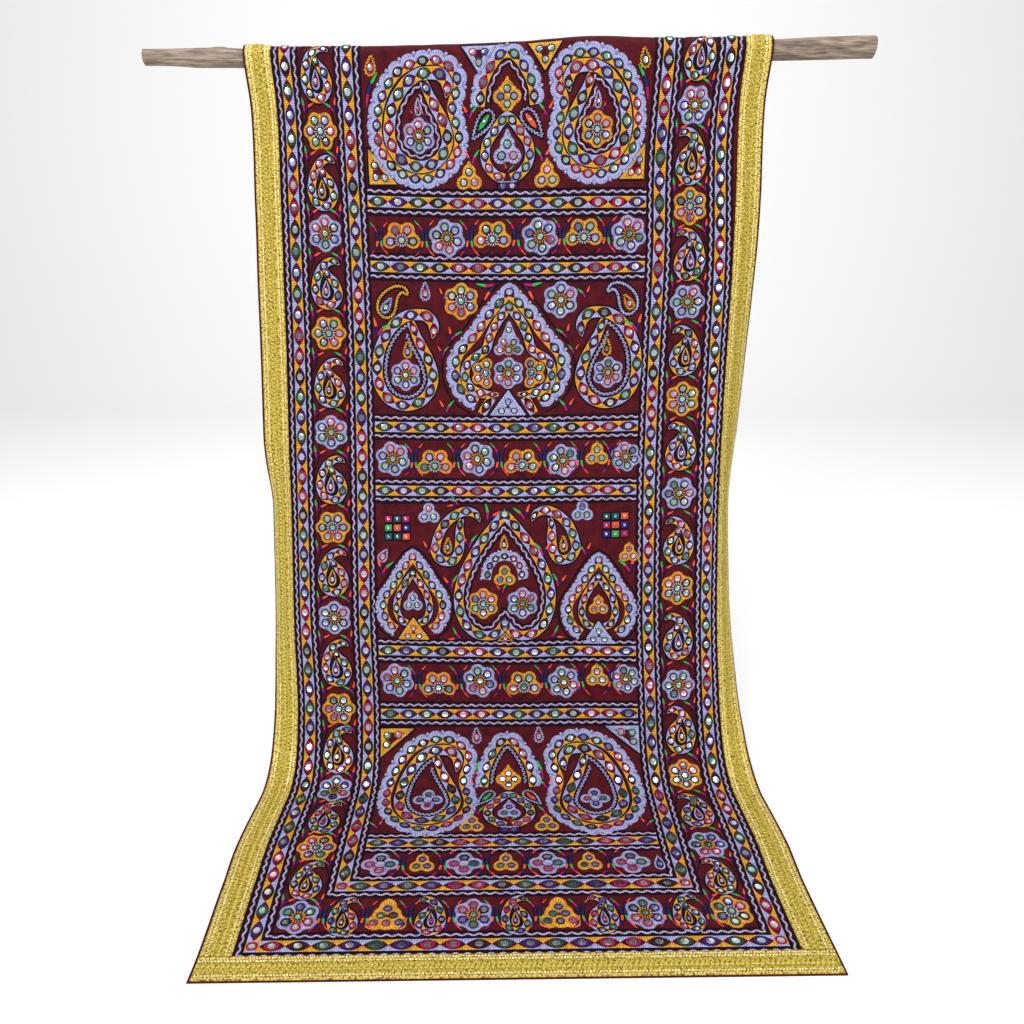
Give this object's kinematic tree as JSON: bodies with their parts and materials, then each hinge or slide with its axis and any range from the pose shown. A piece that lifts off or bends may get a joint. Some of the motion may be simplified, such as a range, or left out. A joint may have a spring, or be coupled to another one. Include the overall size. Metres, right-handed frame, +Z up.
{
  "type": "embroidered wall tapestry on a wooden pole",
  "caption": "Long embroidered cloth with gold lace edges, hung over a rough wooden pole and running out onto the floor in front.",
  "frame": {"origin": "middle of the pole's axis", "axes": "+Z up, +X along the pole to the right as the embroidered face is seen, the embroidered face towards -Y"},
  "size_m": [1.24, 0.7135, 1.3089],
  "materials": {
    "ground": "matt maroon cotton satin",
    "lace": "woven gold metal thread with a soft glitter",
    "wood": "debarked, weathered grey-brown",
    "lilac_thread": "chain stitch, silky",
    "orange_thread": "chain stitch, silky",
    "outline_thread": "near-black cord stitch",
    "bright_thread": "filling stitch in green, magenta, violet and red",
    "mirror": "small thin mirror discs"
  },
  "bodies": {
    "root": {"pole": "wood", "ground_cloth": "ground", "border_left": "lace", "border_right": "lace", "border_front": "lace", "border_back": "lace"}
  },
  "joints": []
}
